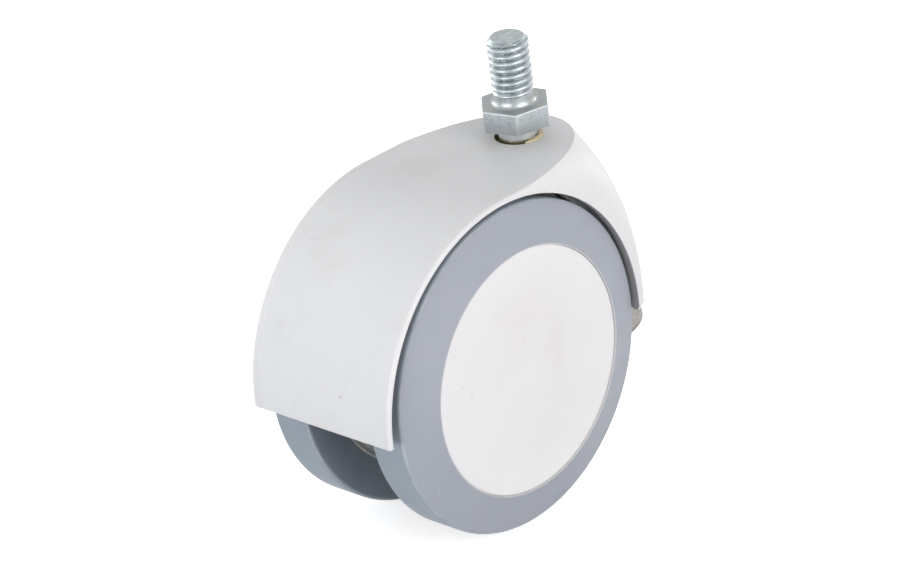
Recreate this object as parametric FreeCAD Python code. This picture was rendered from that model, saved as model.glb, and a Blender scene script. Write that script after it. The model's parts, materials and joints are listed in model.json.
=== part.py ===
# Hooded twin-wheel swivel caster with a threaded stem and a foot brake, in millimetres.
# Origin: on the swivel axis, at the top face of the stem's hexagon, the seat for what the caster is screwed to.
# +Z points up along the stem, +X from the axle towards the stem, and Y lies along the axle.
import FreeCAD, Part
import math
import os

Vec = FreeCAD.Vector
UP = Vec(0, 0, 1)
ACROSS = Vec(0, 1, 0)

# Where the wheels sit under the seat
wheel_d = 75.0             # over the tread
swivel_offset = 28.0       # swivel axis to axle
running_gap = 0.05         # radial, between a pin and its bush
side_play = 0.15           # along a pin, between what turns and what stays
free_gap = 0.3             # between moving surfaces that never bear on each other

# Stem
thread_d = 9.4             # 3/8 inch, 16 threads to the inch, over the crests
thread_len = 15.5
thread_chamfer = 1.1
neck_len = 2.2             # plain cone between thread and hexagon
neck_foot_d = 10.6
hex_across_flats = 14.29
hex_height = 5.1
hex_gap = 2.4              # hexagon to the hood's top, over the wheels
hex_turn_deg = 44.1        # one corner of the hexagon, from the X axis
hex_chamfer_deg = 30.0
shank_d = 8.6
shank_tip_d = 4.5
shank_tip_len = 2.4

# Hood shell
hood_half_width = 20.5
top_wall = 1.0             # over the wheel openings
top_drop = 1.2             # from over the wheels down to the nose
wheel_gap = 2.3            # tyre to the edge of its opening
opening_shift_x = -1.2     # centre of the wheel openings, from the axle
opening_shift_z = -0.5
hood_back_edge = -1.0      # lower edge at the wheel side, from the axle
hood_front_edge = -3.2     # lower edge at the nose, from the axle
nose_depth = 3.4           # nose ahead of the wheel openings
nose_reach_height = 12.0
nose_bow_r = 153.0         # the nose's front seen from the side
nose_power_at_top = 1.9    # 2 is a round plan, and more is squarer
nose_squareness = 0.11     # how fast the plan grows squarer, per mm of depth
nose_pole_deg = 75.0       # where the nose's sides leave the round of the openings for a straight rise
nose_wall = 2.0
rim_round = 0.9
hem_round = 0.6            # at the back
hem_bevel_w = 0.6          # at the nose
hem_bevel_h = 1.3
nose_overlap = 0.1         # how far the nose's blank stands outside the sides that trim it
hood_length_margin = 8.0   # extra length of the blanks before they are trimmed
nose_levels = 9
nose_points = 9            # points along one side of a nose outline

# Inside the hood
centre_web = 5.0
web_back_edge = 9.0        # web's lower edge where it meets the back wall, above the axle
web_front_edge = 1.0       # web's lower edge ahead of the pedal, above the axle
web_foot = -7.0            # web's lower edge between axle boss and pedal, from the axle
boss_d = 19.0
boss_half_width = 8.6
socket_wall = 2.3
socket_bore_d = 12.0
stem_hole_d = 10.6
stem_hole_lip = 1.2
socket_foot = 6.0          # lower end of the socket, above the axle
rib_w = 1.6
rib_pitch = 6.2
ribs_each_side = 2

# Swivel bushes and stops
upper_bush_len = 12.0
bush_key_near = 4.45       # the key's flats, from the swivel axis
bush_key_proud = 0.4       # above the hood's top
bush_key_turns = (-88.0, -51.0)
snap_ring_h = 1.2
snap_ring_d = 10.6
snap_ring_groove_d = 7.0
snap_ring_slot = 4.0
thrust_disc_h = 1.5
plug_len = 3.0

# Axle and its fittings
axle_d = 8.0
axle_groove_d = 6.6
axle_chamfer = 0.6
washer_h = 0.8
washer_d = 14.0
clip_h = 0.9
clip_d = 13.0
clip_mouth = 6.0
wheel_bush_wall = 1.5

# Wheels
tyre_inner_face = 9.7      # from the mid plane
tread_w = 9.7
tyre_bulge = 3.4           # how far the outer side ring stands proud of the tread's edge
tyre_edge_round = 1.0
tyre_bore_r = 28.6
tyre_key_depth = 1.6
tyre_key_w = 3.0
cover_r = 28.1
cover_wall = 1.7
cover_depth = 3.6
cover_crown = 0.35
cover_edge_round = 0.5
cover_post_d = 4.0
cover_post_ring_r = 19.0
cover_posts = 4
core_rim_wall = 2.0
core_lip_w = 0.6
core_lip_depth = 0.6       # groove between the rim's two lips
core_web = 2.0
core_hub_d = 17.0
core_ribs = 12
core_rib_w = 1.6
core_rib_setback = 2.2

# Foot brake
pedal_pin_d = 4.0
pedal_pin_x = 33.0         # ahead of the axle
pedal_pin_z = -4.0         # from the axle
pedal_throw_deg = 14.0
knuckle_r = 4.6
knuckle_half_width = 6.4
lug_w = 2.0
lug_r = 5.4
pad_r = 14.8
pad_centre_x = 39.4        # ahead of the axle
pad_top_z = -10.6          # from the axle
pad_t = 1.2
pad_round = 0.5
shoe_h = 6.0
shoe_w = 2.6
neck_w = 9.0
leaf_t = 0.8
leaf_w = 8.0
leaf_h = 14.5
leaf_seat_h = 5.0
leaf_seat_wall = 1.8

# Worked out from the sizes above
wheel_r = wheel_d / 2
opening_r = wheel_r + wheel_gap
hood_top = opening_r + opening_shift_z + top_wall
hood_top_at_nose = hood_top - top_drop
nose_reach = opening_r + opening_shift_x + nose_depth
seat_above_axle = hood_top + hex_gap + hex_height
axle_x = -swivel_offset
axle_z = -seat_above_axle
opening_x = axle_x + opening_shift_x
opening_z = axle_z + opening_shift_z
hood_r = hood_top - opening_shift_z
top_slope = (hood_top - hood_top_at_nose) / (nose_reach - opening_shift_x)
hood_top_at_stem = axle_z + hood_top - top_slope * (swivel_offset - opening_shift_x)
bush_bore_r = shank_d / 2 + running_gap
lip_z = hood_top_at_stem - stem_hole_lip
socket_foot_z = axle_z + socket_foot
socket_r = socket_bore_d / 2 + socket_wall
upper_bush_foot = lip_z - upper_bush_len
ring_top = upper_bush_foot - free_gap
ring_foot = ring_top - snap_ring_h
disc_top = socket_foot_z + plug_len + thrust_disc_h
lower_bush_top = ring_foot - free_gap
pedal_x = axle_x + pedal_pin_x
pedal_z = axle_z + pedal_pin_z
lug_inner = knuckle_half_width + free_gap
lug_outer = lug_inner + lug_w
leaf_front = pedal_x - knuckle_r - free_gap
leaf_back = leaf_front - leaf_t
leaf_top = socket_foot_z - free_gap
web_front_x = pedal_pin_x - knuckle_r - free_gap - leaf_t - leaf_seat_wall
wheel_outer_face = tyre_inner_face + tread_w + tyre_bulge
hub_inner = boss_half_width + washer_h + side_play
cover_foot = wheel_outer_face - cover_depth
hub_outer = cover_foot - washer_h - side_play
washer_in = hub_outer + side_play
clip_in = washer_in + washer_h
axle_end = clip_in + clip_h + axle_chamfer
wheel_bush_r = axle_d / 2 + running_gap + wheel_bush_wall
core_inner_r = tyre_bore_r - core_rim_wall
hub_r = core_hub_d / 2
shoe_r = wheel_r + free_gap


def face_of(edges):
    return Part.Face(Part.Wire(edges))


def polygon(points):
    return Part.Face(Part.makePolygon(points + points[:1]))


def turned(points, foot, axis):
    """A solid of revolution from (radius, place along the axis) pairs."""
    side = Vec(1, 0, 0)
    profile = polygon([foot + side * r + axis * along for r, along in points])
    return profile.revolve(foot, axis, 360)


def turned_on_stem(points):
    return turned(points, Vec(0, 0, 0), UP)


def turned_on_axle(points):
    return turned(points, Vec(axle_x, 0, axle_z), ACROSS)


def rod(r, foot, axis, length):
    return Part.makeCylinder(r, length, foot, axis)


def across(r, x, z, y0, y1):
    """A round bar along Y."""
    return rod(r, Vec(x, y0, z), ACROSS, y1 - y0)


def block(x0, x1, y0, y1, z0, z1):
    return Part.makeBox(x1 - x0, y1 - y0, z1 - z0, Vec(x0, y0, z0))


def plate(points, half_width):
    """An XZ outline, given from the axle, as a plate about the mid plane."""
    outline = polygon([Vec(axle_x + x, -half_width, axle_z + z) for x, z in points])
    return outline.extrude(ACROSS * (2 * half_width))


def circles(shape, r):
    """The shape's edges that are circles or arcs of one radius."""
    round_edges = [e for e in shape.Edges if not e.Degenerated and e.Curve.TypeId == "Part::GeomCircle"]
    return [e for e in round_edges if abs(e.Curve.Radius - r) < 0.01]


def mirrored(shape):
    return shape.mirror(Vec(0, 0, 0), ACROSS)


def save(name, shape):
    shape.exportStep("parts/" + name + ".step")


# Stem


def hexagon(across_flats, z0, height):
    corner_r = across_flats / math.sqrt(3)
    turns = [math.radians(hex_turn_deg + 60 * i) for i in range(6)]
    outline = polygon([Vec(corner_r * math.cos(t), corner_r * math.sin(t), z0) for t in turns])
    return outline.extrude(UP * height)


def stem():
    corner_r = hex_across_flats / math.sqrt(3)
    drop = (corner_r - hex_across_flats / 2) * math.tan(math.radians(hex_chamfer_deg))
    flat_r = hex_across_flats / 2
    head = hexagon(hex_across_flats, -hex_height, hex_height)
    dome = turned_on_stem([(0, -hex_height), (corner_r, -hex_height), (corner_r, -drop), (flat_r, 0), (0, 0)])
    thread_r = thread_d / 2
    shank_r = shank_d / 2
    groove_r = snap_ring_groove_d / 2
    spindle = turned_on_stem([
        (0, thread_len), (thread_r - thread_chamfer, thread_len), (thread_r, thread_len - thread_chamfer),
        (thread_r, neck_len), (neck_foot_d / 2, 0), (shank_r, -hex_height), (shank_r, ring_top),
        (groove_r, ring_top), (groove_r, ring_foot), (shank_r, ring_foot),
        (shank_r, disc_top + shank_tip_len), (shank_tip_d / 2, disc_top), (0, disc_top)])
    return head.common(dome).fuse(spindle)


def snap_ring():
    inner = snap_ring_groove_d / 2
    ring = turned_on_stem([(inner, ring_foot), (snap_ring_d / 2, ring_foot), (snap_ring_d / 2, ring_top),
                           (inner, ring_top)])
    half = snap_ring_slot / 2
    return ring.cut(block(-snap_ring_d, 0, -half, half, ring_foot, ring_top))


def swivel_bush(foot, top):
    outer = socket_bore_d / 2
    return turned_on_stem([(bush_bore_r, foot), (outer, foot), (outer, top), (bush_bore_r, top)])


def bush_key():
    """Two flats that stand up in the stem hole, seen beside the shank, and keep the upper bush from turning."""
    r = stem_hole_d / 2
    top = hood_top_at_stem + bush_key_proud
    round_key = rod(r, Vec(0, 0, lip_z), UP, top - lip_z)
    flats = []
    for turn in bush_key_turns:
        side = block(bush_key_near, r + free_gap, -r, r, lip_z, top)
        flats.append(round_key.common(side.rotate(Vec(0, 0, 0), UP, turn)))
    return flats[0].fuse(flats[1:])


def thrust_disc():
    return rod(socket_bore_d / 2, Vec(0, 0, disc_top - thrust_disc_h), UP, thrust_disc_h)


def socket_plug():
    return rod(socket_bore_d / 2, Vec(0, 0, socket_foot_z), UP, plug_len)


# Hood


def side_form(inset):
    """The hood seen from the side: a round back that runs into a nearly flat top."""
    r = hood_r - inset
    low = -hood_length_margin
    start = Vec(opening_x - r, 0, axle_z + low)
    turn = Vec(opening_x - r, 0, opening_z)
    crown = Vec(opening_x, 0, opening_z + r)
    middle = Vec(opening_x - r * math.sqrt(0.5), 0, opening_z + r * math.sqrt(0.5))
    reach = nose_reach + hood_length_margin
    ahead = Vec(axle_x + reach, 0, crown.z - top_slope * (reach - opening_shift_x))
    foot = Vec(ahead.x, 0, start.z)
    outline = face_of([
        Part.makeLine(start, turn),
        Part.Arc(turn, middle, crown).toShape(),
        Part.makeLine(crown, ahead),
        Part.makeLine(ahead, foot),
        Part.makeLine(foot, start)])
    half = hood_half_width - inset
    outline.translate(ACROSS * -half)
    return outline.extrude(ACROSS * (2 * half))


def rounded_side_form():
    """The side form with its long outer edges rounded, as the hood's rims are."""
    form = side_form(0)
    low = opening_z - hood_r
    rims = [e for e in form.Edges if e.BoundBox.YLength < 0.01 and e.BoundBox.ZMax > low + hood_r + 1]
    return form.makeFillet(rim_round, rims)


def shoulder_ahead(rise):
    """How far ahead of the openings' centre the sides start to close in, at a height above that centre."""
    pole = math.radians(nose_pole_deg)
    if rise < opening_r * math.sin(pole):
        return math.sqrt(opening_r ** 2 - rise ** 2)
    return opening_r * math.cos(pole) - (rise - opening_r * math.sin(pole)) * math.tan(pole)


def nose_outline(height, inset):
    """The hood cut level at a height above the axle: straight sides, and a nose that grows squarer below."""
    shoulder = opening_shift_x + shoulder_ahead(height - opening_shift_z)
    tip = nose_reach - (height - nose_reach_height) ** 2 / (2 * nose_bow_r) - inset
    half = hood_half_width + nose_overlap - inset
    power = nose_power_at_top + nose_squareness * (hood_top - height)
    z = axle_z + height
    points = []
    for i in range(2 * nose_points - 1):
        turn = math.pi / 2 * (i / (nose_points - 1) - 1)
        forward = abs(math.cos(turn)) ** (2 / power)
        sideways = math.copysign(abs(math.sin(turn)) ** (2 / power), turn)
        points.append(Vec(axle_x + shoulder + (tip - shoulder) * forward, half * sideways, z))
    points[0] = Vec(axle_x + shoulder, -half, z)
    points[-1] = Vec(axle_x + shoulder, half, z)
    nose = Part.BSplineCurve()
    nose.interpolate(points)
    back = axle_x - hood_r - hood_length_margin
    return Part.Wire([
        nose.toShape(),
        Part.makeLine(points[-1], Vec(back, half, z)),
        Part.makeLine(Vec(back, half, z), Vec(back, -half, z)),
        Part.makeLine(Vec(back, -half, z), points[0])])


def nose_form(inset):
    lowest = math.asin((hood_front_edge - 3 - opening_shift_z) / opening_r)
    highest = math.radians(nose_pole_deg)
    levels = []
    for i in range(nose_levels):
        turn = lowest + (highest - lowest) * i / (nose_levels - 1)
        levels.append(opening_shift_z + opening_r * math.sin(turn))
    levels += [hood_top, hood_top + top_wall]
    return Part.makeLoft([nose_outline(height, inset) for height in levels], True, False)


def hem_cut():
    """What is trimmed off below the hood's slanted lower edge."""
    back = opening_shift_x - hood_r - hood_length_margin
    ahead = nose_reach + hood_length_margin
    low = hood_front_edge - 4 * hood_length_margin
    half = hood_half_width + hood_length_margin
    return plate([(back, hood_back_edge), (opening_shift_x, hood_back_edge), (opening_shift_x, hood_front_edge),
                  (ahead, hood_front_edge), (ahead, low), (back, low)], half)


def hem_bevel():
    """What is trimmed off round the nose's lower edge."""
    margin = hem_bevel_h / 10
    steepness = hem_bevel_w / hem_bevel_h
    low = hood_front_edge - 2 * hem_bevel_h
    high = hood_front_edge + hem_bevel_h
    half = hood_half_width + hood_length_margin
    around = block(opening_x, axle_x + nose_reach + hood_length_margin, -half, half, axle_z + low, axle_z + high)
    kept = [nose_outline(low - margin, steepness * (high - low + margin)),
            nose_outline(high + margin, -steepness * margin)]
    return around.cut(Part.makeLoft(kept, True, True))


def rounded_hem(shell):
    """The shell with its lower edge rounded at the back."""
    z = axle_z + hood_back_edge
    level = [e for e in shell.Edges if not e.Degenerated and e.BoundBox.ZLength < 0.01]
    hem = [e for e in level if abs(e.BoundBox.ZMin - z) < 0.01 and e.BoundBox.XMin < opening_x - opening_r - 0.01]
    return shell.makeFillet(hem_round, hem)


def outer_form():
    return rounded_side_form().common(nose_form(0))


def wheel_space():
    half = hood_half_width + hood_length_margin
    return across(opening_r, opening_x, opening_z, -half, half)


def mid_web():
    """The plate in the mid plane that joins the back wall, the axle boss and the stem socket."""
    back = opening_shift_x - hood_r
    top = hood_top + 1
    ahead = nose_reach + 1
    boss_r = boss_d / 2
    return plate([
        (back, web_back_edge), (-boss_r, 0), (0, -boss_r), (boss_r, web_foot), (web_front_x, web_foot),
        (web_front_x, web_front_edge), (ahead, web_front_edge), (ahead, top), (back, top)], centre_web / 2)


def pedal_lugs():
    """Two ears that carry the pedal's pin."""
    ear = across(lug_r, pedal_x, pedal_z, -lug_outer, lug_outer)
    stalk = block(pedal_x - lug_r, pedal_x + lug_r, -lug_outer, lug_outer, pedal_z, socket_foot_z + lug_r)
    gap = block(pedal_x - 2 * lug_r, pedal_x + 2 * lug_r, -lug_inner, lug_inner,
                pedal_z - 2 * lug_r, socket_foot_z + 2 * lug_r)
    return ear.fuse(stalk).cut(gap)


def leaf_seat():
    half = leaf_w / 2 + leaf_seat_wall
    foot = socket_foot_z - leaf_seat_h
    return block(leaf_back - leaf_seat_wall, leaf_front + leaf_seat_wall, -half, half, foot, socket_foot_z)


def nose_ribs():
    """Upright ribs in the hollow of the nose, either side of the socket."""
    ribs = []
    for i in range(1, ribs_each_side + 1):
        for side in (-1, 1):
            y = side * i * rib_pitch
            ribs.append(block(opening_x, axle_x + nose_reach, y - rib_w / 2, y + rib_w / 2,
                              axle_z + web_front_edge, axle_z + hood_top))
    return ribs


def hood():
    outside = outer_form()
    shell = rounded_hem(outside.cut([hem_cut(), wheel_space(), hem_bevel()]))
    hollow = side_form(nose_wall).common(nose_form(nose_wall))
    shell = shell.cut(hollow.cut(block(-hood_r * 2, opening_x, -hood_r, hood_r, -2 * hood_r, 0)))
    socket = rod(socket_r, Vec(0, 0, socket_foot_z), UP, -socket_foot_z)
    boss = across(boss_d / 2, axle_x, axle_z, -boss_half_width, boss_half_width)
    inner = [mid_web(), socket, pedal_lugs(), leaf_seat()]
    ribs = [rib.cut(wheel_space()) for rib in nose_ribs()]
    frame = inner[0].fuse(inner[1:] + ribs).common(outside)
    solid = shell.fuse([frame, boss])
    bore = rod(socket_bore_d / 2, Vec(0, 0, socket_foot_z), UP, lip_z - socket_foot_z)
    stem_hole = rod(stem_hole_d / 2, Vec(0, 0, lip_z), UP, -lip_z)
    axle_hole = across(axle_d / 2, axle_x, axle_z, -boss_half_width, boss_half_width)
    pin_hole = across(pedal_pin_d / 2, pedal_x, pedal_z, -lug_outer, lug_outer)
    return solid.cut([bore, stem_hole, axle_hole, pin_hole, pedal_leaf()])


# Axle


def axle():
    r = axle_d / 2
    groove = axle_groove_d / 2
    half = [(r, clip_in), (groove, clip_in), (groove, clip_in + clip_h), (r, clip_in + clip_h),
            (r - axle_chamfer, axle_end)]
    return turned_on_axle([(0, -axle_end)] + [(a, -y) for a, y in reversed(half)] + half + [(0, axle_end)])


def washer(inner_y):
    bore = axle_d / 2
    return turned_on_axle([(bore, inner_y), (washer_d / 2, inner_y), (washer_d / 2, inner_y + washer_h),
                           (bore, inner_y + washer_h)])


def axle_clip():
    """An open ring sprung into the groove near the axle's end."""
    bore = axle_groove_d / 2
    ring = turned_on_axle([(bore, clip_in), (clip_d / 2, clip_in), (clip_d / 2, clip_in + clip_h),
                           (bore, clip_in + clip_h)])
    half = clip_mouth / 2
    return ring.cut(block(axle_x - half, axle_x + half, clip_in, clip_in + clip_h, axle_z - clip_d, axle_z))


# Wheels, made on the +Y side


def tyre():
    shoulder = tyre_inner_face + tread_w
    key_mid = tyre_inner_face + tread_w / 2
    ring = turned_on_axle([
        (tyre_bore_r, tyre_inner_face), (wheel_r, tyre_inner_face), (wheel_r, shoulder),
        (cover_r, wheel_outer_face), (cover_r, cover_foot), (tyre_bore_r, cover_foot),
        (tyre_bore_r, key_mid + tyre_key_w / 2), (tyre_bore_r + tyre_key_depth, key_mid + tyre_key_w / 2),
        (tyre_bore_r + tyre_key_depth, key_mid - tyre_key_w / 2), (tyre_bore_r, key_mid - tyre_key_w / 2)])
    return ring.makeFillet(tyre_edge_round, circles(ring, wheel_r))


def wheel_core():
    """Rim, web and hub in one moulding, hollow and ribbed on the side that faces the other wheel."""
    key_mid = tyre_inner_face + tread_w / 2
    web_in = cover_foot - core_web
    groove_in = core_inner_r + core_lip_w
    groove_out = tyre_bore_r - core_lip_w
    groove_foot = tyre_inner_face + core_lip_depth
    core = turned_on_axle([
        (wheel_bush_r, hub_inner), (hub_r, hub_inner), (hub_r, web_in), (core_inner_r, web_in),
        (core_inner_r, tyre_inner_face), (groove_in, tyre_inner_face), (groove_in, groove_foot),
        (groove_out, groove_foot), (groove_out, tyre_inner_face), (tyre_bore_r, tyre_inner_face),
        (tyre_bore_r, key_mid - tyre_key_w / 2), (tyre_bore_r + tyre_key_depth, key_mid - tyre_key_w / 2),
        (tyre_bore_r + tyre_key_depth, key_mid + tyre_key_w / 2), (tyre_bore_r, key_mid + tyre_key_w / 2),
        (tyre_bore_r, cover_foot), (hub_r, cover_foot), (hub_r, hub_outer), (wheel_bush_r, hub_outer)])
    ribs = []
    centre = Vec(axle_x, 0, axle_z)
    for i in range(core_ribs):
        rib = block(axle_x - core_rib_w / 2, axle_x + core_rib_w / 2, tyre_inner_face + core_rib_setback,
                    web_in + core_web / 2, axle_z + (hub_r + wheel_bush_r) / 2,
                    axle_z + core_inner_r + core_rim_wall / 2)
        ribs.append(rib.rotate(centre, ACROSS, 360 * (i + 0.5) / core_ribs))
    return core.fuse(ribs).cut(cover_post_bars())


def cover_post_bars():
    """The cover's snap posts, which pass through the core's web."""
    bars = []
    foot = cover_foot - core_web
    for i in range(cover_posts):
        turn = 2 * math.pi * i / cover_posts
        bars.append(across(cover_post_d / 2, axle_x + cover_post_ring_r * math.cos(turn),
                           axle_z + cover_post_ring_r * math.sin(turn), foot, wheel_outer_face - cover_wall))
    return bars


def wheel_cover():
    """A shallow cap with a faintly crowned face, pressed onto the wheel core."""
    inside = wheel_outer_face - cover_wall
    foot = Vec(axle_x, 0, axle_z)

    def at(r, y):
        return foot + Vec(r, y, 0)

    face = Part.Arc(at(cover_r, wheel_outer_face - cover_crown), at(cover_r / 2, wheel_outer_face - cover_crown / 4),
                    at(0, wheel_outer_face)).toShape()
    rest = [at(0, wheel_outer_face), at(0, inside), at(cover_r - cover_wall, inside),
            at(cover_r - cover_wall, cover_foot), at(cover_r, cover_foot), at(cover_r, wheel_outer_face - cover_crown)]
    cap = face_of([face] + Part.makePolygon(rest).Edges).revolve(foot, ACROSS, 360)
    edge = [e for e in circles(cap, cover_r) if e.BoundBox.YMax > inside]
    return cap.makeFillet(cover_edge_round, edge).fuse(cover_post_bars())


def wheel_bush():
    bore = axle_d / 2 + running_gap
    return turned_on_axle([(bore, hub_inner), (wheel_bush_r, hub_inner), (wheel_bush_r, hub_outer),
                           (bore, hub_outer)])


# Foot brake


def pedal_pin():
    return across(pedal_pin_d / 2, pedal_x, pedal_z, -lug_outer, lug_outer)


def pedal_leaf():
    """A flat spring, held in a slot under the socket, that the pedal's knuckle turns against."""
    return block(leaf_back, leaf_front, -leaf_w / 2, leaf_w / 2, leaf_top - leaf_h, leaf_top)


def shoe_centre():
    """The axle as the released pedal sees it: turned back about the pin by the pedal's throw."""
    turn = math.radians(pedal_throw_deg)
    dx = axle_x - pedal_x
    dz = axle_z - pedal_z
    x = dx * math.cos(turn) - dz * math.sin(turn)
    z = dx * math.sin(turn) + dz * math.cos(turn)
    return pedal_x + x, pedal_z + z


def brake_pedal():
    """A round foot pad, a curved shoe that closes on both treads, and a knuckle on the pin, in one moulding."""
    cx, cz = shoe_centre()
    top = axle_z + pad_top_z
    centre_x = axle_x + pad_centre_x
    wide = pad_r + 1
    shoe_space = across(shoe_r, cx, cz, -wide, wide)
    pad = rod(pad_r, Vec(centre_x, 0, top - pad_t), UP, pad_t)
    pad = pad.makeFillet(pad_round, [pad.Edges[i] for i in (0, 2)]).cut(shoe_space)
    half = math.sqrt(pad_r ** 2 - (cx + shoe_r - centre_x) ** 2) - pad_round
    band = across(shoe_r + shoe_w, cx, cz, -half, half).cut(shoe_space)
    shoe = band.common(block(cx, cx + 2 * shoe_r, -half, half, top - shoe_h, top - pad_round))
    knuckle = across(knuckle_r, pedal_x, pedal_z, -knuckle_half_width, knuckle_half_width)
    neck = plate([
        (pedal_pin_x - knuckle_r / 2, pedal_pin_z - knuckle_r * 0.8), (pedal_pin_x + knuckle_r * 0.9, pedal_pin_z),
        (pad_centre_x + shoe_w, pad_top_z), (pad_centre_x + shoe_w, pad_top_z - pad_t),
        (pad_centre_x, pad_top_z - shoe_h), (pedal_pin_x + knuckle_r / 2, pad_top_z - shoe_h / 2)], neck_w / 2)
    bore = across(pedal_pin_d / 2 + running_gap, pedal_x, pedal_z, -knuckle_half_width, knuckle_half_width)
    return pad.fuse([shoe, neck, knuckle]).cut(bore)


def main():
    os.makedirs("parts", exist_ok=True)
    save("stem", stem())
    save("snap_ring", snap_ring())
    save("hood", hood())
    save("upper_swivel_bush", swivel_bush(upper_bush_foot, lip_z).fuse(bush_key()))
    save("lower_swivel_bush", swivel_bush(disc_top, lower_bush_top))
    save("thrust_disc", thrust_disc())
    save("socket_plug", socket_plug())
    save("axle", axle())
    save("pedal_pin", pedal_pin())
    save("pedal_leaf_spring", pedal_leaf())
    save("brake_pedal", brake_pedal())
    sides = {
        "inner_washer": washer(boss_half_width),
        "outer_washer": washer(washer_in),
        "axle_clip": axle_clip(),
        "wheel_bush": wheel_bush(),
        "wheel_core": wheel_core(),
        "tyre": tyre(),
        "wheel_cover": wheel_cover(),
    }
    for name, shape in sides.items():
        save(name + "_left", shape)
        save(name + "_right", mirrored(shape))


main()
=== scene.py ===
import json
import math
import bpy
from mathutils import Matrix, Vector

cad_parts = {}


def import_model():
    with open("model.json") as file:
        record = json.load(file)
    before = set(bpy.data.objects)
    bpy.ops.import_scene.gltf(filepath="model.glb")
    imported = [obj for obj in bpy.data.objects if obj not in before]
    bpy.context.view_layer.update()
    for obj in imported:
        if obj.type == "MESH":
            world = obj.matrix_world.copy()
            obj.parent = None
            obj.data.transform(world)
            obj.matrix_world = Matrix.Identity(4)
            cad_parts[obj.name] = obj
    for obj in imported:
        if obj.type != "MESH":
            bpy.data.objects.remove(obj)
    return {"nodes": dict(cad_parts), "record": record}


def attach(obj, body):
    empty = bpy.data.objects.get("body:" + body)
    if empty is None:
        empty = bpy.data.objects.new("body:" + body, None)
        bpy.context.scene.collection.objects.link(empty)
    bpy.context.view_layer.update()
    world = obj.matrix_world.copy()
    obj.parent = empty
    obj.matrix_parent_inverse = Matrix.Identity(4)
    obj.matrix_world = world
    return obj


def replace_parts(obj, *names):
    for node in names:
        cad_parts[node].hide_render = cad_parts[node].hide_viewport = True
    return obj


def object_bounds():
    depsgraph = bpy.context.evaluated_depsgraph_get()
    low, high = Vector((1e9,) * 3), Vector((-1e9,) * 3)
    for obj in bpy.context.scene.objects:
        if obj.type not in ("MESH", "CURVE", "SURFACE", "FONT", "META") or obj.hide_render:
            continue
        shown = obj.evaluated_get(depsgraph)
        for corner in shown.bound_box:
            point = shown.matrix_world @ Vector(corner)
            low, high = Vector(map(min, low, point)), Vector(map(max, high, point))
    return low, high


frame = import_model()
cad_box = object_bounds()

MM = 0.001

# Scales that drop one direction, so that a length becomes the distance from a line
UPRIGHT = (1, 1, 0)
ALONG_Y = (1, 0, 1)

# Threaded stem, in millimetres
thread_d = 9.4
thread_root_d = 7.9
thread_pitch = 1.5875
thread_foot = 2.3
thread_top = 15.5
thread_chamfer = 1.1
chamfer_slope = 0.95
neck_d = 9.0
neck_foot_d = 10.6
hex_across_flats = 14.29
hex_height = 5.1
hex_turn_deg = 44.1
hex_edge = 0.16
hex_corner_factor = 1.14
shank_d = 8.6
shank_foot = -37.3
shank_tip_d = 4.5
shank_tip_len = 2.4
ring_groove_d = 7.0
ring_groove_foot = -23.0
ring_groove_top = -21.8
shank_grease_z = -7.9
bush_grease_z = -8.9

# Axle and wheels, in millimetres
axle_x = -28.0
axle_z = -47.8
wheel_r = 37.5
tyre_inner_face = 9.7
cover_r = 28.1

# Hood's stem hole, line beside the rim (its distance from the mid plane) and wheel openings, in millimetres
stem_hole_d = 10.6
rim_line = 18.6
rim_line_width = 0.22
opening_x = -29.2
opening_z = -48.3
opening_r = 39.8

# Pedal's pad, in millimetres
pad_x = 11.4
pad_r = 14.8


# Meshes

def new_piece(name, verts, faces, body, mat, smooth_deg):
    """A mesh piece in millimetres that rides on a body."""
    mesh = bpy.data.meshes.new(name)
    mesh.from_pydata([[c * MM for c in v] for v in verts], [], faces)
    mesh.validate()
    mesh.update()
    obj = bpy.data.objects.new(name, mesh)
    bpy.context.scene.collection.objects.link(obj)
    mesh.materials.append(mat)
    mesh.shade_smooth()
    mesh.set_sharp_from_angle(angle=math.radians(smooth_deg))
    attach(obj, body)
    return obj


def rings_mesh(rows):
    """Vertices and faces of rings stacked one on the next, closed at both ends."""
    n = len(rows[0])
    verts = [p for row in rows for p in row]
    faces = []
    for j in range(len(rows) - 1):
        for i in range(n):
            k = (i + 1) % n
            faces.append((j * n + i, j * n + k, (j + 1) * n + k, (j + 1) * n + i))
    faces.append(tuple(reversed(range(n))))
    faces.append(tuple(range((len(rows) - 1) * n, len(rows) * n)))
    return verts, faces


def ring(n, turn, radius, height):
    """One ring of points; the radius is a number or a function of the angle."""
    points = []
    for i in range(n):
        a = turn + 2 * math.pi * i / n
        r = radius(a) if callable(radius) else radius
        points.append((r * math.cos(a), r * math.sin(a), height))
    return points


def thread_radius(a, z):
    """Radius of the rolled thread: narrow roots, wide round crests, a run-in at the foot and a chamfered end."""
    root_share, flank_share, roundness, run_in_turns = 0.06, 0.80, 0.9, 0.9
    phase = (z / thread_pitch - a / (2 * math.pi)) % 1
    away = abs(phase - 0.5) * 2
    depth = (thread_d - thread_root_d) / 2
    flank = min(1, max(0, (away - root_share) / flank_share))
    height = depth * math.sin(math.pi / 2 * flank) ** roundness
    run_in = min(1, max(0, (z - thread_foot) / (run_in_turns * thread_pitch)))
    r = thread_root_d / 2 + height
    r = neck_d / 2 + (r - neck_d / 2) * run_in
    chamfer = thread_d / 2 - max(0, z - (thread_top - thread_chamfer)) * chamfer_slope
    return min(r, chamfer)


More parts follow.
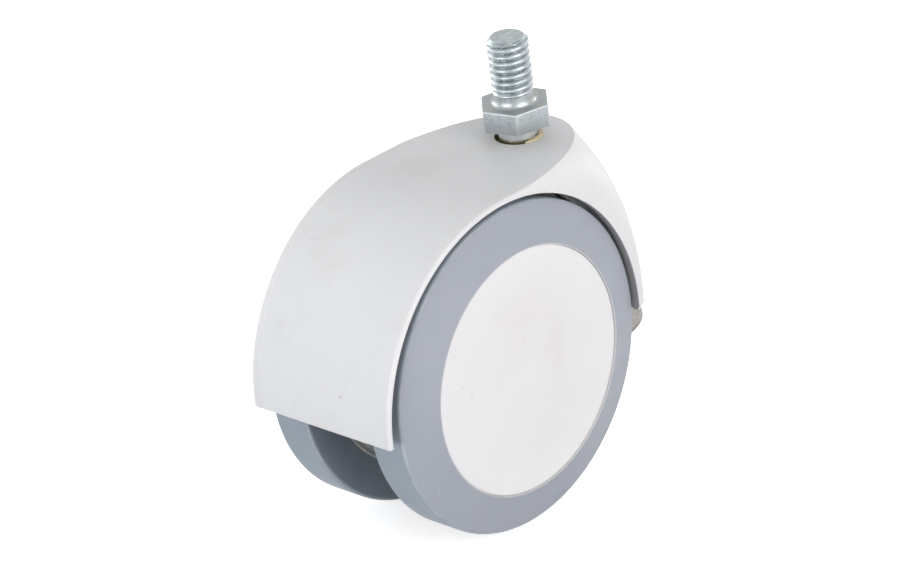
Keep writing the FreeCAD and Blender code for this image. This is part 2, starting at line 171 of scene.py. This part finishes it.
def stem_thread(mat):
    """The stem's helical thread and its flat end."""
    n, per_turn, end_rounding = 96, 18, 0.25
    steps = int((thread_top - thread_foot) / thread_pitch * per_turn)
    rows = []
    for j in range(steps + 1):
        z = thread_foot + (thread_top - thread_foot) * j / steps
        rows.append(ring(n, 0, lambda a, z=z: thread_radius(a, z), z))
    end_r = thread_d / 2 - thread_chamfer * chamfer_slope
    rows.append(ring(n, 0, end_r - end_rounding, thread_top))
    verts, faces = rings_mesh(rows)
    return new_piece("stem_thread", verts, faces, "stem", mat, 50)


def hex_radius(a, inset):
    """Distance from the axis to the hexagon's outline, drawn in by the inset, with its corners cut round."""
    flats = hex_across_flats / 2 - inset
    local = (a - math.radians(hex_turn_deg)) % (math.pi / 3) - math.pi / 6
    return min(flats / math.cos(local), flats * hex_corner_factor)


def stem_foot(mat):
    """The stem's flared neck, hexagon and turned shank."""
    n, neck_steps = 180, 10
    hidden, overlap, flat_ring, straight = 0.4, 0.02, 1.2, 0.3
    round_edge = hex_edge * 0.3
    turn = math.radians(hex_turn_deg)
    neck_r, foot_r = neck_d / 2, neck_foot_d / 2
    rows = [ring(n, turn, neck_r - hidden, thread_foot + hidden)]
    for j in range(neck_steps + 1):
        t = j / neck_steps
        z = (thread_foot + overlap) * (1 - t)
        flare = 1 - math.sqrt(1 - max(0, (t - straight) / (1 - straight)) ** 2)
        rows.append(ring(n, turn, neck_r + (foot_r - neck_r) * flare, z))
    for inset, z in ((flat_ring, 0), (hex_edge, 0), (round_edge, -round_edge), (0, -hex_edge),
                     (0, hex_edge - hex_height), (round_edge, round_edge - hex_height),
                     (hex_edge, -hex_height), (flat_ring, -hex_height)):
        rows.append(ring(n, turn, lambda a, inset=inset: hex_radius(a, inset), z))
    for d, z in ((shank_d, -hex_height), (shank_d, ring_groove_top), (ring_groove_d, ring_groove_top),
                 (ring_groove_d, ring_groove_foot), (shank_d, ring_groove_foot),
                 (shank_d, shank_foot + shank_tip_len), (shank_tip_d, shank_foot)):
        rows.append(ring(n, turn, d / 2, z))
    rows.reverse()
    verts, faces = rings_mesh(rows)
    return new_piece("stem_hexagon", verts, faces, "stem", mat, 30)


# Materials

class Nodes:
    """Short calls for a material's node tree."""

    def __init__(self, name):
        self.mat = bpy.data.materials.new(name)
        self.mat.use_nodes = True
        self.tree = self.mat.node_tree
        self.shader = self.tree.nodes["Principled BSDF"]
        self.coords = self.tree.nodes.new("ShaderNodeTexCoord").outputs["Object"]

    def set(self, **values):
        """Sets the shader's sockets by name, with _ for a space."""
        for key, value in values.items():
            self.shader.inputs[key.replace("_", " ")].default_value = value

    def node(self, kind, **values):
        made = self.tree.nodes.new("ShaderNode" + kind)
        for key, value in values.items():
            setattr(made, key, value)
        return made

    def link(self, out, socket):
        self.tree.links.new(out, socket)

    def mapped(self, scale, turn=(0, 0, 0), shift=(0, 0, 0)):
        """The object's own coordinates scaled, turned and shifted."""
        made = self.node("Mapping")
        for key, value in (("Scale", scale), ("Rotation", turn), ("Location", shift)):
            made.inputs[key].default_value = value
        self.link(self.coords, made.inputs["Vector"])
        return made.outputs["Vector"]

    def noise(self, scale, detail, rough=0.5, stretch=None, distortion=0.0, turn=(0, 0, 0)):
        """Soft noise, mostly between 0.3 and 0.7."""
        made = self.node("TexNoise")
        for key, value in (("Scale", scale), ("Detail", detail), ("Roughness", rough), ("Distortion", distortion)):
            made.inputs[key].default_value = value
        self.link(self.mapped(stretch, turn) if stretch else self.coords, made.inputs["Vector"])
        return made.outputs["Fac"]

    def range(self, value, low, high, to_low, to_high):
        """A value carried from one span over to another, and held at its ends."""
        made = self.node("MapRange")
        for key, number in (("From Min", low), ("From Max", high), ("To Min", to_low), ("To Max", to_high)):
            made.inputs[key].default_value = number
        self.link(value, made.inputs["Value"])
        return made.outputs["Result"]

    def step(self, value, low, high, to_low, to_high):
        """The same with the first two limits in millimetres."""
        return self.range(value, low * MM, high * MM, to_low, to_high)

    def math(self, kind, a, b):
        made = self.node("Math", operation=kind)
        for socket, value in zip(made.inputs, (a, b)):
            if isinstance(value, (int, float)):
                socket.default_value = value
            else:
                self.link(value, socket)
        return made.outputs["Value"]

    def mix(self, factor, a, b):
        """Two colours mixed; inputs 6 and 7 and output 2 are the node's sockets for colours."""
        made = self.node("Mix", data_type="RGBA")
        self.link(factor, made.inputs["Factor"])
        for socket, value in ((made.inputs[6], a), (made.inputs[7], b)):
            if isinstance(value, tuple):
                socket.default_value = (*value, 1)
            else:
                self.link(value, socket)
        return made.outputs[2]

    def both(self, a, b):
        return self.math("MULTIPLY", a, b)

    def either(self, a, b):
        return self.math("MAXIMUM", a, b)

    def cloud(self, light, dark, scale, detail, rough, low=0.3, high=0.7):
        """Two colours mixed by soft noise."""
        return self.mix(self.range(self.noise(scale, detail, rough), low, high, 0, 1), light, dark)

    def specks(self, scale, size, rare=0.62):
        """1 in small, sparse, uneven spots; fewer with a higher rare."""
        made = self.node("TexVoronoi")
        made.inputs["Scale"].default_value = scale
        made.inputs["Randomness"].default_value = 1
        self.link(self.coords, made.inputs["Vector"])
        spot = self.range(made.outputs["Distance"], size * 0.5, size, 1, 0)
        chosen = self.range(self.noise(scale * 0.37, 0), rare, rare + 0.04, 0, 1)
        return self.both(spot, chosen)

    def scratches(self, scale, turns):
        """1 in thin, sparse lines; each turn, in degrees about X, Y and Z, gives one set of them."""
        stretch = (1, 0.1, 0.22)
        lines = None
        for i, turn in enumerate(turns):
            grain = self.noise(scale, 1, 0.5, stretch, turn=[math.radians(a) for a in turn])
            patch = self.range(self.noise(scale * 0.09 + i, 1), 0.56, 0.64, 0, 1)
            line = self.both(self.range(grain, 0.70, 0.735, 0, 1), patch)
            lines = line if lines is None else self.either(lines, line)
        return lines

    def from_line(self, x, z, scale):
        """Distance in metres from a line through x and z in millimetres; the scale drops the direction along it."""
        shift = (-x * MM * scale[0], 0, -z * MM * scale[2])
        length = self.node("VectorMath", operation="LENGTH")
        self.link(self.mapped(scale, shift=shift), length.inputs[0])
        return length.outputs["Value"]

    def place(self, axis):
        """The place along X, Y or Z."""
        made = self.node("SeparateXYZ")
        self.link(self.coords, made.inputs[0])
        return made.outputs[axis]

    def band(self, value, low, high, soft):
        """1 between two sizes in millimetres, with soft ends."""
        rise = self.step(value, low - soft, low + soft, 0, 1)
        fall = self.step(value, high - soft, high + soft, 1, 0)
        return self.both(rise, fall)

    def bump(self, height, millimetres):
        made = self.node("Bump")
        made.inputs["Strength"].default_value = 1.0
        made.inputs["Distance"].default_value = millimetres * MM
        self.link(height, made.inputs["Height"])
        self.link(made.outputs["Normal"], self.shader.inputs["Normal"])

    def colour(self, out):
        self.link(out, self.shader.inputs["Base Color"])

    def roughness(self, low, high, scale, detail, rough, factor=None):
        """Uneven roughness between two values, times a factor where there is one."""
        out = self.range(self.noise(scale, detail, rough), 0.3, 0.7, low, high)
        self.link(self.both(out, factor) if factor else out, self.shader.inputs["Roughness"])


def white_plastic(name, light, dark, gloss, haze, specks, lines, marks):
    """Moulded white nylon: soft gloss, cloudy tone, dust specks and scratches. Also gives the colour so far."""
    m = Nodes(name)
    m.set(Specular_IOR_Level=0.5, Subsurface_Weight=0.12, Subsurface_Scale=0.0015,
          Subsurface_Radius=(1.0, 0.95, 0.9))
    cloudy = m.cloud(light, dark, 38, 3, 0.55)
    hazy = m.mix(m.range(m.noise(52, 5, 0.7), 0.52, 0.70, 0, haze), cloudy, (0.62, 0.60, 0.58))
    spotted = m.mix(m.both(m.specks(specks, 0.07, 0.56), 0.45), hazy, (0.34, 0.32, 0.30))
    scratched = m.mix(m.both(m.scratches(560, lines), marks), spotted, (0.55, 0.55, 0.57))
    m.roughness(gloss - 0.05, gloss + 0.08, 90, 3, 0.6)
    return m, scratched


def hood_white():
    """The hood's plastic: grease and an amber stain round the stem hole, painted shade inside, a fine line beside the
    rims.
    """
    turns = ((0, 20, 30), (40, 0, 75), (10, 70, 0))
    m, outside = white_plastic("hood_white", (0.80, 0.805, 0.81), (0.77, 0.775, 0.785), 0.42, 0.24, 160, turns, 0.2)
    from_stem = m.from_line(0, 0, UPRIGHT)
    hole_r = stem_hole_d / 2 + 0.05
    stain = m.mix(m.step(from_stem, hole_r, hole_r + 0.6, 0.5, 0), outside, (0.62, 0.52, 0.30))
    grease = m.cloud((0.09, 0.08, 0.03), (0.30, 0.26, 0.12), 420, 4, 0.65, 0.35, 0.65)
    greased = m.mix(m.step(from_stem, hole_r - 0.03, hole_r, 1, 0), stain, grease)
    # Painted shade on the hood's inner walls, browner towards the back and darker grey towards the nose.
    from_opening = m.from_line(opening_x, opening_z, ALONG_Y)
    inside = m.step(from_opening, opening_r, opening_r + 0.1, 0.8, 0)
    painted_shade_inside = m.mix(m.step(m.place("X"), -12, 0, 0, 1), (0.64, 0.58, 0.54), (0.41, 0.385, 0.39))
    m.colour(m.mix(inside, greased, painted_shade_inside))
    off_middle = m.math("ABSOLUTE", m.place("Y"), 0)
    raised = m.step(off_middle, rim_line, rim_line + rim_line_width, 1, 0)
    behind_stem = m.step(m.place("X"), -18, -10, 4, 0)
    m.bump(m.math("ADD", m.both(raised, behind_stem), m.noise(1500, 2, 0.5)), 0.02)
    return m.mat


def cover_white():
    """The covers' plastic: cool near the edge, warm handling stains in the middle."""
    turns = ((0, 25, 0), (0, 140, 0))
    m, plain = white_plastic("cover_white", (0.84, 0.83, 0.83), (0.81, 0.795, 0.795), 0.36, 0, 130, turns, 0.07)
    r = m.from_line(axle_x, axle_z, ALONG_Y)
    cool = m.mix(m.step(r, 10, 27, 0, 0.5), plain, (0.875, 0.875, 0.89))
    stains = m.both(m.range(m.noise(70, 5, 0.65), 0.45, 0.65, 0, 1), m.step(r, 8, 23, 0.45, 0))
    m.colour(m.mix(stains, cool, (0.76, 0.71, 0.70)))
    m.bump(m.noise(1500, 2, 0.5), 0.02)
    return m.mat


def tyre_rubber():
    """Grey thermoplastic rubber: matt, bluer tread, painted shade on the inner face, a pale edge that is partly worn
    and partly painted sheen, a painted lighter ring next to the cover, dust and grit.
    """
    m = Nodes("tyre_rubber_grey")
    m.set(Specular_IOR_Level=0.45, Subsurface_Weight=0.04, Subsurface_Scale=0.001)
    r = m.from_line(axle_x, axle_z, ALONG_Y)
    side = m.cloud((0.372, 0.396, 0.450), (0.348, 0.372, 0.425), 60, 4, 0.6)
    tread = m.cloud((0.300, 0.355, 0.410), (0.278, 0.332, 0.388), 75, 4, 0.6)
    outside = m.mix(m.step(r, wheel_r - 0.6, wheel_r - 0.15, 0, 1), side, tread)
    off_middle = m.math("ABSOLUTE", m.place("Y"), 0)
    # Painted shade: the inner faces between the two wheels are given this darker, duller colour.
    dull = m.cloud((0.255, 0.300, 0.355), (0.215, 0.258, 0.310), 140, 4, 0.6)
    base = m.mix(m.step(off_middle, tyre_inner_face + 0.05, tyre_inner_face + 0.3, 1, 0), outside, dull)
    # Pale band at the tyre's outer edge: partly wear, partly a painted sheen.
    wear_and_sheen = m.range(m.noise(210, 3, 0.6), 0.35, 0.6, 0.25, 0.8)
    worn = m.mix(m.both(m.band(r, wheel_r - 0.45, wheel_r - 0.1, 0.12), wear_and_sheen), base, (0.50, 0.53, 0.58))
    dusty = m.mix(m.both(m.specks(330, 0.07), 0.4), worn, (0.62, 0.64, 0.66))
    spotted = m.mix(m.both(m.specks(210, 0.04), 0.6), dusty, (0.16, 0.18, 0.20))
    # Painted light: the rubber beside the cover's edge is made paler, against the shade in the groove there.
    painted_light_seam = m.mix(m.step(r, cover_r + 0.05, cover_r + 0.25, 0.8, 0), spotted, (0.72, 0.71, 0.71))
    marks = m.both(m.scratches(620, ((0, 35, 0), (0, 118, 10))), m.step(r, wheel_r - 1.2, wheel_r - 0.7, 0.4, 0))
    marked = m.mix(marks, painted_light_seam, (0.56, 0.59, 0.63))
    grit = m.both(m.specks(800, 0.13), m.step(r, wheel_r - 0.7, wheel_r, 0, 0.6))
    m.colour(m.mix(grit, marked, (0.62, 0.65, 0.67)))
    m.roughness(0.42, 0.56, 160, 3, 0.6)
    m.bump(m.noise(1900, 3, 0.6), 0.03)
    return m.mat


def zinc_plate():
    """Bright zinc plate: drawing marks, grain, painted highlights along the hexagon's edges, painted shade high on
    its sides, a tint on top, a painted lighter shank, grease low on the shank.
    """
    m = Nodes("zinc_plate")
    m.set(Metallic=1.0)
    z = m.place("Z")
    from_axis = m.from_line(0, 0, UPRIGHT)
    corner_r = hex_across_flats / 2 * hex_corner_factor
    cloudy = m.cloud((0.31, 0.335, 0.355), (0.36, 0.385, 0.40), 260, 4, 0.6)
    drawn = m.range(m.noise(2600, 2, 0.5, (1, 1, 0.06)), 0.42, 0.7, 0, 0.5)
    streaked = m.mix(drawn, cloudy, (0.43, 0.45, 0.465))
    # Painted shade: the hexagon's sides are darker towards their top.
    high = m.both(m.step(z, -4.5, -0.6, 0, 0.55), m.step(z, -0.15, -0.05, 1, 0))
    shaded = m.mix(high, streaked, (0.16, 0.18, 0.19))
    grain = m.mix(m.range(m.noise(3400, 2, 0.6), 0.40, 0.62, 0, 0.5), shaded, (0.47, 0.50, 0.515))
    # Painted highlights along the hexagon's top and bottom edges and down its corners.
    highlight_top_and_foot = m.either(m.band(z, -0.32, -0.10, 0.05), m.band(z, -hex_height, 0.25 - hex_height, 0.05))
    corners = m.both(m.step(from_axis, corner_r - 0.125, corner_r - 0.025, 0, 0.5), m.step(z, -0.1, 0, 1, 0))
    with_painted_highlights = m.mix(m.either(highlight_top_and_foot, corners), grain, (0.47, 0.495, 0.51))
    tint = m.both(m.range(m.noise(300, 3, 0.6), 0.45, 0.65, 0, 0.6), m.step(z, -0.05, 0, 0, 1))
    tinted = m.mix(tint, with_painted_highlights, (0.40, 0.42, 0.35))
    spotted = m.mix(m.both(m.specks(900, 0.12), 0.6), tinted, (0.25, 0.26, 0.27))
    # Painted light: the shank below the hexagon is made paler, standing for the reflection of the hood.
    shank = m.mix(m.step(z, -hex_height - 0.5, -hex_height - 0.1, 1, 0), spotted, (0.52, 0.54, 0.55))
    ragged = m.math("ADD", z, m.range(m.noise(500, 3, 0.6), 0.3, 0.7, -0.3 * MM, 0.3 * MM))
    m.colour(m.mix(m.step(ragged, shank_grease_z - 0.2, shank_grease_z + 0.2, 0.85, 0), shank, (0.17, 0.15, 0.06)))
    m.roughness(0.48, 0.64, 420, 4, 0.65, m.step(z, 0.05, 0.3, 1, 0.68))
    m.bump(m.noise(1500, 4, 0.65, (1, 1, 0.12), 0.4), 0.03)
    return m.mat


def zinc_thread():
    """The same plate on the thread: bright crests, roots darkened partly by oil and partly as painted shade, and a
    dull end face.
    """
    m = Nodes("zinc_thread")
    m.set(Metallic=1.0)
    root_r = thread_root_d / 2
    crest = m.step(m.from_line(0, 0, UPRIGHT), root_r + 0.07, root_r + 0.41, 0, 1)
    end = m.step(m.place("Z"), thread_top - 0.15, thread_top - 0.05, 0, 1)
    worn = m.cloud((0.33, 0.37, 0.385), (0.50, 0.535, 0.555), 700, 4, 0.65, 0.35, 0.65)
    # The roots are darker, partly from oil and partly as painted shade.
    root_oil_and_shade = m.cloud((0.26, 0.31, 0.32), (0.44, 0.50, 0.51), 330, 3, 0.6, 0.35, 0.65)
    m.colour(m.mix(m.either(crest, end), root_oil_and_shade, worn))
    m.roughness(0.24, 0.42, 800, 4, 0.65)
    m.bump(m.noise(1700, 4, 0.65, distortion=0.6), 0.06)
    return m.mat


def spring_steel():
    """Plain spring steel with a dull, uneven surface."""
    m = Nodes("spring_steel_grey")
    m.set(Metallic=1.0)
    m.colour(m.cloud((0.40, 0.41, 0.43), (0.30, 0.31, 0.33), 500, 4, 0.6))
    m.roughness(0.32, 0.48, 700, 3, 0.6)
    m.bump(m.noise(2400, 3, 0.6), 0.02)
    return m.mat


def greased_bush():
    """Cream acetal with amber edges, under dark olive grease down inside the stem hole."""
    m = Nodes("greased_bush")
    m.set(Specular_IOR_Level=0.6)
    clean = m.cloud((0.72, 0.66, 0.50), (0.62, 0.50, 0.26), 700, 3, 0.6, 0.35, 0.65)
    grease = m.cloud((0.060, 0.055, 0.020), (0.20, 0.18, 0.08), 420, 4, 0.65, 0.35, 0.65)
    m.colour(m.mix(m.step(m.place("Z"), bush_grease_z - 0.3, bush_grease_z + 0.3, 0, 1), grease, clean))
    m.roughness(0.28, 0.5, 500, 3, 0.6)
    m.bump(m.noise(900, 3, 0.6), 0.08)
    return m.mat


def milky_nylon():
    """Unpigmented nylon: milky, with cloudy grey and amber mottling, flecks and a painted shade rim round the pad."""
    m = Nodes("milky_nylon")
    m.set(Specular_IOR_Level=0.5, Subsurface_Weight=0.35, Subsurface_Scale=0.0015,
          Subsurface_Radius=(1.2, 1.0, 0.8))
    mottle = m.range(m.noise(420, 5, 0.7, None, 0.8), 0.38, 0.62, 0, 1)
    cloudy = m.mix(mottle, (0.585, 0.56, 0.535), (0.44, 0.42, 0.40))
    amber = m.mix(m.range(m.noise(260, 3, 0.6), 0.55, 0.7, 0, 0.35), cloudy, (0.46, 0.38, 0.26))
    grain = m.mix(m.range(m.noise(2300, 2, 0.6), 0.52, 0.64, 0, 0.5), amber, (0.74, 0.72, 0.73))
    flecked = m.mix(m.both(m.specks(1100, 0.1), 0.5), grain, (0.30, 0.27, 0.24))
    # Painted shade: a dark rim round the pad's rounded edge.
    rim = m.step(m.from_line(pad_x, 0, UPRIGHT), pad_r - 0.35, pad_r - 0.1, 0, 0.75)
    m.colour(m.mix(rim, flecked, (0.13, 0.12, 0.12)))
    m.roughness(0.30, 0.48, 300, 3, 0.6)
    m.bump(m.noise(1200, 3, 0.6), 0.05)
    return m.mat


def off_white(name, light, dark):
    """Plain moulded plastic of the hidden parts."""
    m = Nodes(name)
    m.set(Specular_IOR_Level=0.5)
    m.colour(m.cloud(light, dark, 120, 3, 0.6))
    m.roughness(0.42, 0.56, 300, 3, 0.6)
    m.bump(m.noise(1500, 3, 0.6), 0.02)
    return m.mat


def dress_nodes(made):
    """Gives each CAD node the material of its slot."""
    for part in frame["record"]["subparts"]:
        obj = frame["nodes"][part["node"]]
        obj.data.materials.clear()
        obj.data.materials.append(made[part["material_slot"]])


# Stage

def camera():
    """The photograph's camera."""
    data = bpy.data.cameras.new("camera")
    data.sensor_fit = "HORIZONTAL"
    data.sensor_width = 36
    data.lens = 220.76
    data.clip_start = 0.05
    data.clip_end = 50
    obj = bpy.data.objects.new("camera", data)
    bpy.context.scene.collection.objects.link(obj)
    right = (0.67269115, -0.73105152, -0.11423785)
    up = (0.39724912, 0.22656944, 0.88930278)
    back = (-0.62424334, -0.64360699, 0.44282083)
    place = (-0.7771, -0.7736, 0.49725)
    rows = [[right[i], up[i], back[i], place[i]] for i in range(3)]
    obj.matrix_world = Matrix(rows + [[0, 0, 0, 1]])
    bpy.context.scene.camera = obj


def seen_white(tree, lit, white):
    """A shader that the camera, gloss and glass see as the white background, and that lights the rest."""
    path = tree.nodes.new("ShaderNodeLightPath")
    seen = path.outputs["Is Camera Ray"]
    for name in ("Is Glossy Ray", "Is Transmission Ray"):
        either = tree.nodes.new("ShaderNodeMath")
        either.operation = "MAXIMUM"
        tree.links.new(seen, either.inputs[0])
        tree.links.new(path.outputs[name], either.inputs[1])
        seen = either.outputs[0]
    mix = tree.nodes.new("ShaderNodeMixShader")
    tree.links.new(seen, mix.inputs[0])
    tree.links.new(lit, mix.inputs[1])
    tree.links.new(white, mix.inputs[2])
    return mix.outputs[0]


def world():
    """Even studio light, on a background that is seen as white."""
    made = bpy.data.worlds.new("studio")
    made.use_nodes = True
    tree = made.node_tree
    lit = tree.nodes["Background"]
    lit.inputs["Color"].default_value = (0.975, 0.985, 1.0, 1)
    lit.inputs["Strength"].default_value = 0.45
    white = tree.nodes.new("ShaderNodeBackground")
    white.inputs["Color"].default_value = (1, 1, 1, 1)
    white.inputs["Strength"].default_value = 1.0
    out = seen_white(tree, lit.outputs[0], white.outputs[0])
    tree.links.new(out, tree.nodes["World Output"].inputs["Surface"])
    bpy.context.scene.world = made


def floor():
    """A white floor under the wheels that keeps the shadow."""
    size, gap = 3.0, 0.0001
    z = cad_box[0][2] - gap
    mesh = bpy.data.meshes.new("floor")
    corners = ((-size, -size), (size, -size), (size, size), (-size, size))
    mesh.from_pydata([(x, y, z) for x, y in corners], [], [(0, 1, 2, 3)])
    obj = bpy.data.objects.new("floor", mesh)
    bpy.context.scene.collection.objects.link(obj)
    mat = bpy.data.materials.new("floor_white")
    mat.use_nodes = True
    tree = mat.node_tree
    matt = tree.nodes["Principled BSDF"]
    bounce = tree.nodes.new("ShaderNodeBsdfDiffuse")
    bounce.inputs["Color"].default_value = (0.45, 0.46, 0.48, 1)
    matt.inputs["Base Color"].default_value = (0.9, 0.9, 0.9, 1)
    matt.inputs["Roughness"].default_value = 0.9
    matt.inputs["Specular IOR Level"].default_value = 0.1
    glow = tree.nodes.new("ShaderNodeEmission")
    glow.inputs["Strength"].default_value = 0.62
    both = tree.nodes.new("ShaderNodeAddShader")
    tree.links.new(matt.outputs[0], both.inputs[0])
    tree.links.new(glow.outputs[0], both.inputs[1])
    out = seen_white(tree, bounce.outputs[0], both.outputs[0])
    tree.links.new(out, tree.nodes["Material Output"].inputs["Surface"])
    mesh.materials.append(mat)


def lamp(name, place, aim, size, power, colour=(1, 1, 1)):
    """A large soft lamp that faces a point; sizes in metres."""
    data = bpy.data.lights.new(name, "AREA")
    data.shape = "RECTANGLE"
    data.size, data.size_y = size
    data.energy = power
    data.color = colour
    obj = bpy.data.objects.new(name, data)
    bpy.context.scene.collection.objects.link(obj)
    obj.location = place
    obj.rotation_euler = (Vector(aim) - Vector(place)).to_track_quat("-Z", "Y").to_euler()


def light():
    """Soft lamps low on the four sides, strongest on the near wheel, and little from above."""
    middle = (-0.025, 0, -0.035)
    lamp("key", (-0.1, -1.1, 0.36), middle, (0.9, 0.7), 8.4, (1.0, 0.98, 0.97))
    lamp("fill", (-1.15, 0.02, 0.08), middle, (0.8, 0.42), 4.7, (0.975, 0.985, 1.0))
    lamp("strip", (-1.1, -0.28, 0.15), middle, (0.12, 0.5), 0.5)
    lamp("back", (-0.2, 1.1, 0.2), middle, (0.9, 0.55), 5.0)
    lamp("nose", (1.15, -0.1, 0.12), middle, (0.6, 0.4), 2.2)


def main():
    zinc = zinc_plate()
    greased = greased_bush()
    made = {
        "zinc_plated_steel": zinc,
        "spring_steel": spring_steel(),
        "hood_plastic": hood_white(),
        "cover_plastic": cover_white(),
        "core_plastic": off_white("core_off_white", (0.77, 0.76, 0.75), (0.69, 0.68, 0.66)),
        "bush_plastic": off_white("bush_natural", (0.70, 0.69, 0.63), (0.62, 0.60, 0.54)),
        "natural_nylon": milky_nylon(),
        "tyre_rubber": tyre_rubber(),
    }
    dress_nodes(made)
    even = frame["nodes"]["hood"].modifiers.new("even_normals", "WEIGHTED_NORMAL")
    even.keep_sharp = True
    for node in ("upper_swivel_bush", "lower_swivel_bush"):
        frame["nodes"][node].data.materials[0] = greased
    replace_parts(stem_thread(zinc_thread()), "stem")
    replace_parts(stem_foot(zinc), "stem")
    camera()
    world()
    floor()
    light()
    bpy.context.scene.view_settings.view_transform = "Standard"


main()
